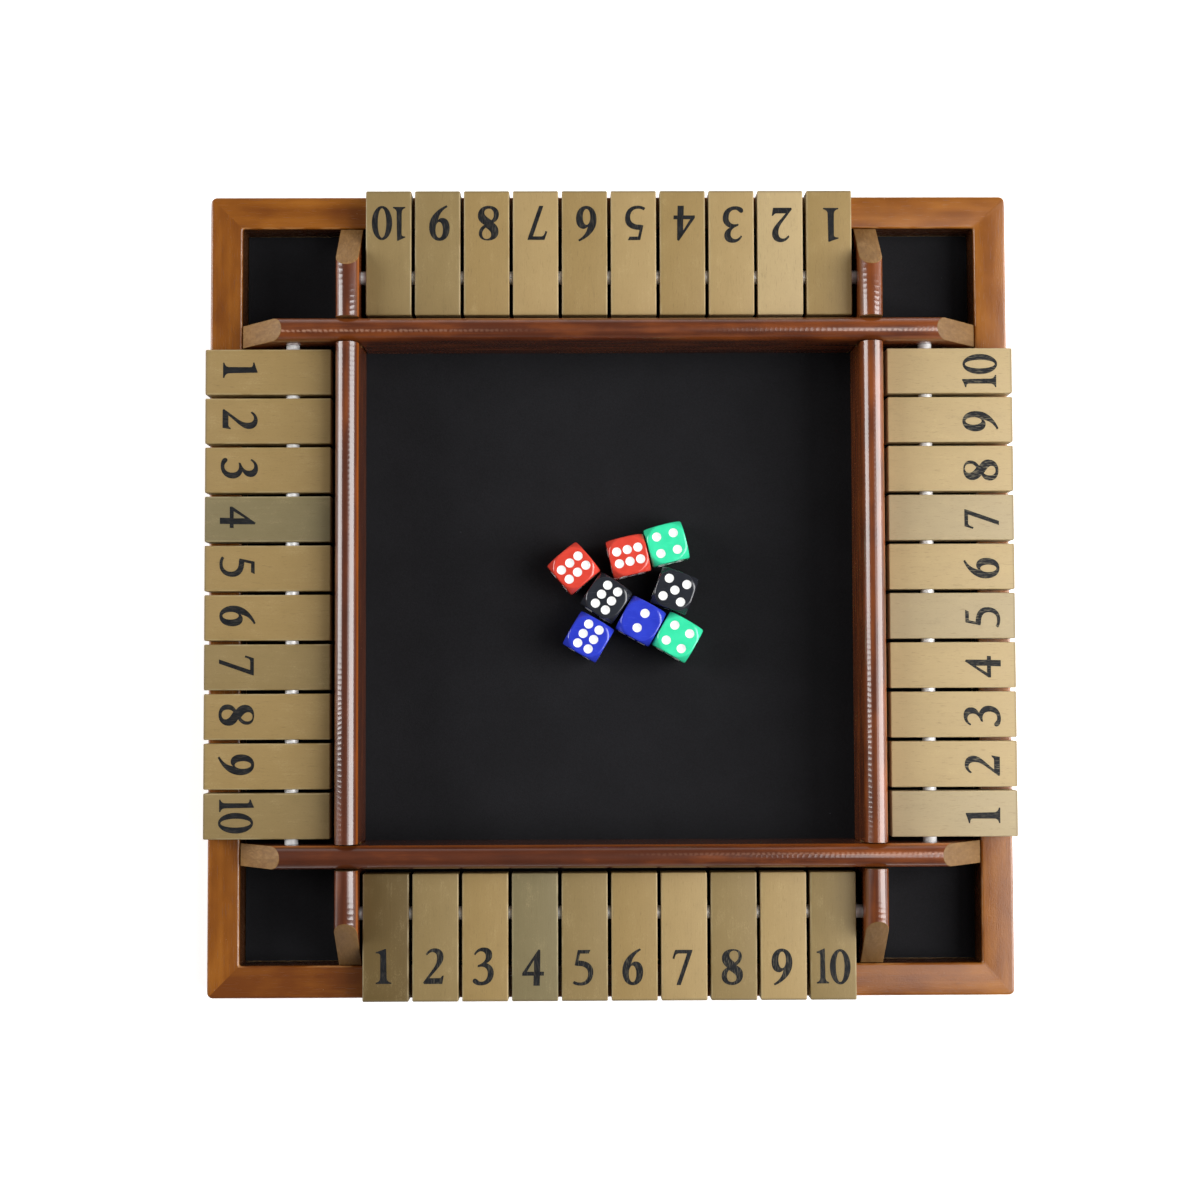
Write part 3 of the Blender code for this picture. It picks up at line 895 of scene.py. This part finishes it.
ONE = [[
    (0, 0), (5.7, 0), (5.7, 0.45), (4.6, 0.75, 4.05, 1.2, 4.0, 2.3), (3.8, 12.75), (3.3, 12.75),
    (2.6, 12.4, 1.2, 11.9, 0, 11.6), (0, 11.15), (1.2, 11.1, 1.65, 10.9, 1.7, 10.1), (1.65, 2.3),
    (1.6, 1.2, 1.1, 0.75, 0, 0.45),
]]
TWO = [[
    (0.3, 0), (7.05, 0), (7.6, 3.1), (6.95, 2.95), (6.65, 2.3, 6.3, 2.15, 5.6, 2.15), (2.4, 2.15),
    (3.8, 3.9, 5.0, 5.1, 6.1, 6.5), (7.0, 7.7, 7.5, 8.6, 7.5, 9.9), (7.5, 11.8, 6.2, 13.0, 4.3, 13.0),
    (2.9, 13.0, 1.7, 12.1, 1.0, 10.9), (1.45, 10.35), (2.1, 11.2, 2.7, 11.6, 3.4, 11.6),
    (4.5, 11.6, 5.15, 10.8, 5.15, 9.4), (5.15, 7.9, 4.6, 6.9, 3.9, 5.8), (0, 0.5),
]]
THREE = [[
    (0.45, 10.75), (1.1, 12.2, 2.4, 13.2, 4.1, 13.2), (5.9, 13.2, 7.15, 12.2, 7.15, 10.5),
    (7.15, 9.1, 6.4, 8.2, 5.1, 7.5), (6.7, 6.9, 7.7, 5.7, 7.7, 4.0), (7.7, 1.2, 5.7, -0.6, 2.9, -0.6),
    (1.3, -0.6, 0, 0.1, 0, 1.0), (0, 1.7, 0.5, 2.0, 1.0, 1.9), (1.7, 1.7, 2.0, 0.75, 3.1, 0.75),
    (4.6, 0.75, 5.5, 2.0, 5.5, 3.8), (5.5, 5.3, 4.6, 6.2, 3.2, 6.2), (2.7, 6.2, 2.3, 6.1, 1.75, 6.0),
    (1.9, 6.8), (3.7, 7.4, 4.8, 8.4, 4.8, 9.9), (4.8, 11.1, 4.0, 11.8, 3.0, 11.8),
    (2.2, 11.8, 1.5, 11.2, 0.95, 10.4),
]]
FOUR = [
    [(0, 3.05), (4.2, 3.05), (4.1, -0.6), (6.4, -0.6), (6.5, 3.05), (7.9, 3.05), (8.0, 4.5), (6.6, 4.5),
     (6.65, 12.35), (6.0, 12.65), (0, 3.95)],
    [(1.75, 4.5), (4.35, 8.7), (4.35, 4.5)],
]
FIVE = [[
    (1.95, 12.3), (6.6, 12.35), (5.95, 11.0), (2.75, 11.0), (2.2, 8.5), (5.4, 8.5, 7.6, 7.0, 7.6, 4.3),
    (7.6, 1.3, 5.8, -0.65, 3.0, -0.65), (1.7, -0.65, 0.5, -0.3, 0, 0.3), (0.6, 1.1),
    (1.2, 0.7, 1.9, 0.5, 2.7, 0.5), (4.5, 0.5, 5.7, 1.7, 5.7, 3.7), (5.7, 5.6, 4.2, 6.5, 2.3, 6.5),
    (1.7, 6.5, 1.2, 6.6, 0.8, 6.8),
]]
SIX = [
    [(6.5, 12.7), (3.2, 11.3, 0, 8.6, 0, 4.5), (0, 1.4, 1.5, -0.7, 3.85, -0.7),
     (6.2, -0.7, 7.65, 1.4, 7.65, 4.1), (7.65, 6.5, 6.6, 7.95, 4.9, 7.95),
     (4.2, 7.95, 3.7, 7.6, 3.3, 7.1), (3.7, 9.4, 4.9, 10.9, 6.9, 12.1)],
    oval(3.75, 3.45, 1.4, 3.0),
]
SEVEN = [[
    (1.15, 12.2), (7.5, 12.2), (7.4, 11.6), (3.1, -0.65), (1.55, -0.6), (5.5, 10.85), (2.2, 10.85),
    (1.5, 10.7, 1.1, 10.2, 0.85, 8.8), (0.1, 9.1),
]]
EIGHT = [
    [(4.1, 12.6), (6.2, 12.6, 7.5, 11.6, 7.5, 9.9), (7.5, 8.4, 6.6, 7.4, 5.5, 6.7),
     (7.0, 5.8, 7.85, 4.9, 7.85, 3.3), (7.85, 1.0, 6.2, -0.5, 3.8, -0.5), (1.5, -0.5, 0, 0.8, 0, 2.7),
     (0, 4.3, 0.8, 5.2, 2.0, 5.9), (0.9, 6.7, 0.15, 7.8, 0.15, 9.3), (0.15, 11.3, 1.8, 12.6, 4.1, 12.6)],
    [(4.6, 12.0), (3.6, 12.0, 2.9, 11.4, 2.9, 10.4), (2.9, 9.3, 3.8, 8.5, 4.9, 7.75),
     (5.9, 8.5, 6.25, 9.2, 6.25, 10.1), (6.25, 11.3, 5.6, 12.0, 4.6, 12.0)],
    [(2.75, 4.95), (2.2, 4.4, 1.9, 3.7, 1.9, 2.8), (1.9, 1.5, 2.6, 0.6, 3.7, 0.6),
     (4.8, 0.6, 5.45, 1.2, 5.45, 2.1), (5.45, 3.3, 4.0, 4.1, 2.75, 4.95)],
]
NINE = half_turned(SIX, 7.65, 12.0)
ZERO = [oval(8.65, 6.05, 3.8, 6.45), oval(8.65, 6.05, 1.6, 5.55)]
TEN = narrowed(ONE, 0.8) + ZERO
NUMERALS = [ONE, TWO, THREE, FOUR, FIVE, SIX, SEVEN, EIGHT, NINE, TEN]
stroke_count = sum(len(rows) for outlines in NUMERALS for rows in outlines)
print(len(NUMERALS), "numerals from", stroke_count, "strokes")

# %% Fill the outlines into thin prints
INK_HEIGHT = 0.04 * MM
INK_SINK = 0.01 * MM


def bezier_loop(curve, rows):
    """One closed outline. A row's handles belong to the stroke that ends in its point."""
    closed = len(rows[0]) == 2 and rows[0] == tuple(rows[-1][-2:])
    points = [row[-2:] for row in (rows[:-1] if closed else rows)]
    strokes = rows[1:] if closed else rows[1:] + [rows[0]]
    spline = curve.splines.new("BEZIER")
    spline.bezier_points.add(len(points) - 1)
    spline.use_cyclic_u = True
    for index, stroke in enumerate(strokes):
        here = spline.bezier_points[index]
        there = spline.bezier_points[(index + 1) % len(points)]
        start, end = points[index], stroke[-2:]
        first, last = (stroke[:2], stroke[2:4]) if len(stroke) == 6 else (start, end)
        here.co = (start[0] * MM, start[1] * MM, 0)
        here.handle_right = (first[0] * MM, first[1] * MM, 0)
        there.handle_left = (last[0] * MM, last[1] * MM, 0)


def numeral_mesh(name, outlines):
    curve = bpy.data.curves.new(name, "CURVE")
    curve.dimensions = "2D"
    curve.fill_mode = "BOTH"
    curve.resolution_u = 10
    curve.extrude = (INK_HEIGHT + INK_SINK) / 2
    for rows in outlines:
        bezier_loop(curve, rows)
    drawing = in_scene(name, curve)
    graph = bpy.context.evaluated_depsgraph_get()
    mesh = bpy.data.meshes.new_from_object(drawing.evaluated_get(graph))
    bpy.data.objects.remove(drawing, do_unlink=True)
    bm = bmesh.new()
    bm.from_mesh(mesh)
    bmesh.ops.remove_doubles(bm, verts=bm.verts, dist=INK_SINK / 10)
    left = min(vert.co.x for vert in bm.verts)
    right = max(vert.co.x for vert in bm.verts)
    bmesh.ops.translate(bm, vec=(-(left + right) / 2, 0, (INK_HEIGHT - INK_SINK) / 2), verts=bm.verts)
    return mesh_of(bm, name)


prints = [numeral_mesh(f"numeral_{number}", outlines) for number, outlines in enumerate(NUMERALS, 1)]
print("numeral heights:", [round(max(v.co.y for v in mesh.vertices) / MM, 1) for mesh in prints])

# %% [markdown]
# ## Ink
#
# The ink is a soft blue-black and nearly matt. It was pressed onto uneven wood, so here and there
# the colour is thin and a little wood looks through. On the right row these thin patches are larger,
# partly as painted sheen.

# %% Ink finish and the prints on the tiles
NUMERAL_FEET = (6.6, 6.5, 6.5, 6.3, 6.3, 6.4, 6.3, 6.1, 6.1, 6.0)
NUMERAL_SHIFT = -0.7 * MM


def ink_finish():
    wires, feed = start_finish("numeral_ink", Specular_IOR_Level=0.2)
    place, number = board_marks(wires)
    soft = cloud(place, (3, 2, 2), number, detail=2)
    thin = cloud(place, (2.4, 0.3, 0.3), number + 3, detail=2).between(0.5, 0.66)
    colour = soft.ramp((0.3, paint(15, 16, 19)), (0.7, paint(30, 31, 34)))
    colour = colour.tint(paint(120, 112, 92), thin * mark(wires, "worn"))
    return feed(Base_Color=colour, Roughness=0.48 + thin * 0.2, Normal=relief(wires, soft, 0.02 * MM))


# How thin the print is in the front, left, back and right row. The right row's large share is
# partly wear and partly painted sheen.
INK_WEAR_AND_SHEEN = (0.35, 0.15, 0.2, 0.75)
ink = ink_finish()
for index, (node, (number, place)) in enumerate(tile_places.items()):
    shift = 0 if number == TILE_COUNT else NUMERAL_SHIFT
    foot = NUMERAL_FEET[number - 1] * MM - OUTER_ARM
    worn = INK_WEAR_AND_SHEEN[index // TILE_COUNT] * (0.4 + index * 7 % TILE_COUNT / TILE_COUNT)
    marked = mark_board(prints[number - 1].copy(), 200 + index, lengthwise="Y", worn=worn)
    stand(node + "_number", marked, [ink], body=node,
          place=place @ Matrix.Translation((shift, foot, TILE_THICK / 2)))
print(len(tile_places), "numbers printed")

# %% [markdown]
# ## Dice
#
# A die is a cube whose corners were turned off by a ball, so each face ends in four arcs, and the
# tumbling left every edge slightly soft. A finely divided cube is pulled onto that form: along each
# direction from the middle, the nearer of cube and ball counts, with a smooth change between them.
# The pips are shallow dishes, cut with a Boolean whose faces bring their own white.

# %% Shape the die
DIE_CELLS = 56
DIE_EDGE_ROUND = 0.55 * MM
DIE_ARC_ROUND = 0.25 * MM
die_low, die_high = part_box("die_red_1")
HALF_DIE = (die_high.z - die_low.z) / 2
CORNER_CUT = 2.2 * MM
BALL_RADIUS = HALF_DIE * math.sqrt(3) - CORNER_CUT


def soft_least(a, b, width):
    """The smaller of two lengths, blended where they differ by less than the width."""
    share = max(width - abs(a - b), 0) / width
    return min(a, b) - share**2 * width / 4


def die_blank():
    bm = bmesh.new()
    bmesh.ops.create_cube(bm, size=2 * HALF_DIE)
    bmesh.ops.subdivide_edges(bm, edges=bm.edges[:], cuts=DIE_CELLS - 1, use_grid_fill=True)
    core = HALF_DIE - DIE_EDGE_ROUND
    for vert in bm.verts:
        nearest = Vector([max(-core, min(core, c)) for c in vert.co])
        outward = vert.co - nearest
        if outward.length > DIE_EDGE_ROUND:
            vert.co = nearest + outward.normalized() * DIE_EDGE_ROUND
        reach = vert.co.length
        vert.co *= soft_least(reach, BALL_RADIUS, DIE_ARC_ROUND * 2) / reach
    return mesh_of(bm, "die_blank", sharp_above=60)


# %% Cut the pips
PIP_RADIUS = 1.7 * MM
PIP_DEPTH = 0.55 * MM
SIX_PITCH, SIX_ROWS = 4.06 * MM, 4.5 * MM / 2
FOUR_REACH, FIVE_REACH, TWO_REACH = 6.4 * MM / 2, 6.95 * MM / 2, 6.1 * MM / 2
PIPS = {
    1: [(0, 0)],
    2: [(0, -TWO_REACH), (0, TWO_REACH)],
    3: [(-FIVE_REACH, -FIVE_REACH), (0, 0), (FIVE_REACH, FIVE_REACH)],
    4: [(x * FOUR_REACH, y * FOUR_REACH) for x in (-1, 1) for y in (-1, 1)],
    5: [(0, 0)] + [(x * FIVE_REACH, y * FIVE_REACH) for x in (-1, 1) for y in (-1, 1)],
    6: [(x * SIX_PITCH, y * SIX_ROWS) for x in (-1, 0, 1) for y in (-1, 1)],
}
# The quarter turns, and their axis, that bring the top to each number's face
QUARTERS = {6: (0, "X"), 1: (2, "X"), 5: (1, "X"), 2: (-1, "X"), 3: (1, "Y"), 4: (-1, "Y")}
FACE_TURNS = {
    number: Matrix.Rotation(turns * math.pi / 2, 4, axis)
    for number, (turns, axis) in QUARTERS.items()
}


def pip_tool():
    """A ball for every pip, sunk so far that it leaves a dish of the wanted width and depth."""
    ball = (PIP_RADIUS**2 + PIP_DEPTH**2) / (2 * PIP_DEPTH)
    bm = bmesh.new()
    for number, places in PIPS.items():
        for x, y in places:
            made = bmesh.ops.create_uvsphere(bm, u_segments=40, v_segments=40, radius=ball)["verts"]
            spot = Matrix.Translation((x, y, HALF_DIE + ball - PIP_DEPTH))
            bmesh.ops.transform(bm, matrix=FACE_TURNS[number] @ spot, verts=made)
    for face in bm.faces:
        face.material_index = 1
    return mesh_of(bm, "pip_tool")


# %% [markdown]
# ## Plastics
#
# The dice are cast in one strong colour each and polished by tumbling. The colour is even, with a
# faint cloud in it, and the gloss is broken only by hair-fine scratches. The pips are matt white
# paint, faintly uneven.

# %% Plastic and pip paint
def plastic(name, dark, light):
    wires, feed = start_finish(f"{name}_plastic", Specular_IOR_Level=0.7)
    place = wires.node("TexCoord", output=3)
    haze = cloud(place, (5, 5, 5), detail=2)
    scratch = cloud(place, (6, 0.12, 0.4), 4.0, detail=1, distortion=0.8).between(0.66, 0.72)
    colour = haze.ramp((0.25, paint(*dark)), (0.75, paint(*light)))
    rough = 0.07 + haze * 0.05 + scratch * 0.2
    return feed(Base_Color=colour, Roughness=rough, Normal=relief(wires, haze - scratch * 0.1, 0.01 * MM))


def pip_paint():
    wires, feed = start_finish("pip_white")
    place = wires.node("TexCoord", output=3)
    thin = cloud(place, (1.5, 1.5, 1.5), 2.0)
    colour = thin.ramp((0.3, paint(238, 238, 236)), (0.7, paint(250, 250, 249)))
    return feed(Base_Color=colour, Roughness=0.4 + thin * 0.1)


PLASTICS = {
    "red": plastic("red", (208, 62, 48), (222, 74, 58)),
    "green": plastic("green", (50, 216, 158), (66, 230, 174)),
    "blue": plastic("blue", (40, 54, 184), (50, 68, 202)),
    "black": plastic("black", (34, 36, 42), (45, 48, 55)),
}
pip_white = pip_paint()
print("plastics:", *PLASTICS)

# %% Lay the dice
# Each die's turn seen from above, in degrees, and the number that it shows
DICE = {
    "die_red_1": (40.2, 6),
    "die_red_2": (12.9, 6),
    "die_green_1": (14.1, 4),
    "die_green_2": (-30.0, 4),
    "die_blue_1": (59.6, 6),
    "die_blue_2": (-29.0, 2),
    "die_black_1": (55.5, 6),
    "die_black_2": (-20.1, 5),
}


def die_mesh():
    blank, tool = die_blank(), pip_tool()
    for mesh in (blank, tool):
        mesh.materials.append(PLASTICS["red"])
        mesh.materials.append(pip_white)
    return cut_mesh(blank, tool, "die")


die = die_mesh()
for name, (degrees, number) in DICE.items():
    low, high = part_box(name)
    laid = Matrix.Rotation(math.radians(degrees), 4, "Z") @ FACE_TURNS[number].inverted()
    colour = name.split("_")[1]
    stand(name + "_cast", die, [PLASTICS[colour], pip_white], body=name,
          stands_for=[name], place=Matrix.Translation((low + high) / 2) @ laid)
pip_faces = sum(face.material_index for face in die.polygons)
print("dice:", len(die.polygons), "faces each,", pip_faces, "in the pips")

# %% [markdown]
# ## Camera
#
# The picture was taken from straight above, a little toward the near edge. The lens and the place
# were found by matching the corners of the rim, the rails' crests and the tiles' ends.

# %% Camera
LENS, SENSOR = 58.65, 36
CAMERA_PLACE = (-0.0103, -0.0365, 0.7477)
CAMERA_TURN = (2.662, -0.504, -0.205)

camera_data = bpy.data.cameras.new("camera")
camera_data.lens = LENS
camera_data.sensor_width = SENSOR
camera = in_scene("camera", camera_data)
camera.location = CAMERA_PLACE
camera.rotation_euler = [math.radians(degrees) for degrees in CAMERA_TURN]
bpy.context.scene.camera = camera
print("camera", round(CAMERA_PLACE[2] / MM), "mm above the table")

# %% [markdown]
# ## Floor and light
#
# Two long softboxes stand low on the left and on the right, and the right one is the stronger. They
# draw two bright bands on the rails at the sides and leave the other rails dark. The left one stands
# further back, so its band fades first toward the viewer. A dim softbox higher up on the right lays
# a haze on the rim's right side. The room adds a little light from all around. The floor is white
# and keeps a soft shadow, and the room looks white to the camera, without lighting the wood more.

# %% Floor
FLOOR_SIDE = 4.0
FLOOR_DROP = 0.2 * MM
FLOOR_LIFT = 0.6


def floor_finish():
    wires, feed = start_finish(
        "floor_paper", Roughness=0.9, Specular_IOR_Level=0.1, Emission_Strength=FLOOR_LIFT
    )
    place = wires.node("TexCoord", output=3)
    tooth = cloud(place, (0.8, 0.8, 0.8), detail=3)
    colour = tooth.ramp((0.2, paint(246, 246, 246)), (0.8, paint(251, 251, 251)))
    seen = wires.node("LightPath", output=0)
    lift = colour.tint((0, 0, 0, 1), 1 - seen)
    return feed(Base_Color=colour, Emission_Color=lift)


bm = bmesh.new()
bmesh.ops.create_grid(bm, x_segments=1, y_segments=1, size=FLOOR_SIDE / 2)
floor_mesh = bpy.data.meshes.new("floor")
bmesh.ops.translate(bm, vec=(0, 0, -FLOOR_DROP), verts=bm.verts)
bm.to_mesh(floor_mesh)
bm.free()
floor_mesh.materials.append(floor_finish())
floor = in_scene("floor", floor_mesh)

# %% Softboxes
def softbox(name, tilt, reach, along, size, glow):
    """The tilt is counted from straight overhead to the right, in degrees. A glow of 1 is white."""
    lamp = bpy.data.lights.new(name, "AREA")
    lamp.shape = "RECTANGLE"
    lamp.size, lamp.size_y = size
    lamp.energy = glow * math.pi * size[0] * size[1]
    angle = math.radians(tilt)
    made = in_scene(name, lamp)
    made.location = (reach * math.sin(angle), along, reach * math.cos(angle))
    made.rotation_euler = (0, angle, 0)
    made.visible_camera = False


# Tilt, reach, place along Y, size and glow
SOFTBOXES = {
    "left softbox": (-65, 1.5, 0.3, (1.1, 0.75), 6.8),
    "right softbox": (55, 1.5, -0.06, (1.4, 1.08), 7.6),
    "high softbox": (20, 1.08, -0.13, (0.28, 0.6), 2.8),
}
for name, settings in SOFTBOXES.items():
    softbox(name, *settings)
print(len(SOFTBOXES), "lamps")

# %% Room
CEILING_LIGHT = 0.08
WALL_LIGHT = 0.8
FRONT_SHADE = 0.75
WALL_FADE, FRONT_FADE = (0.5, 0.1), (0.3, -0.6)
world = bpy.data.worlds.new("room")
bpy.context.scene.world = world
world.use_nodes = True
room = Wire(world.node_tree)
toward, upward = parts_of(room.node("TexCoord", output=0))[1:]
walls = upward.between(*WALL_FADE) * (1 - toward.between(*FRONT_FADE) * FRONT_SHADE)
seen = room.node("LightPath", output=0)
strength = seen.math("MAXIMUM", seen, CEILING_LIGHT + walls * (WALL_LIGHT - CEILING_LIGHT))
background = world.node_tree.nodes["Background"]
background.inputs["Color"].default_value = (1, 1, 1, 1)
world.node_tree.links.new(strength.socket, background.inputs["Strength"])
bpy.context.scene.view_settings.view_transform = "Standard"
print("room light from", CEILING_LIGHT, "overhead to", WALL_LIGHT, "at the walls")
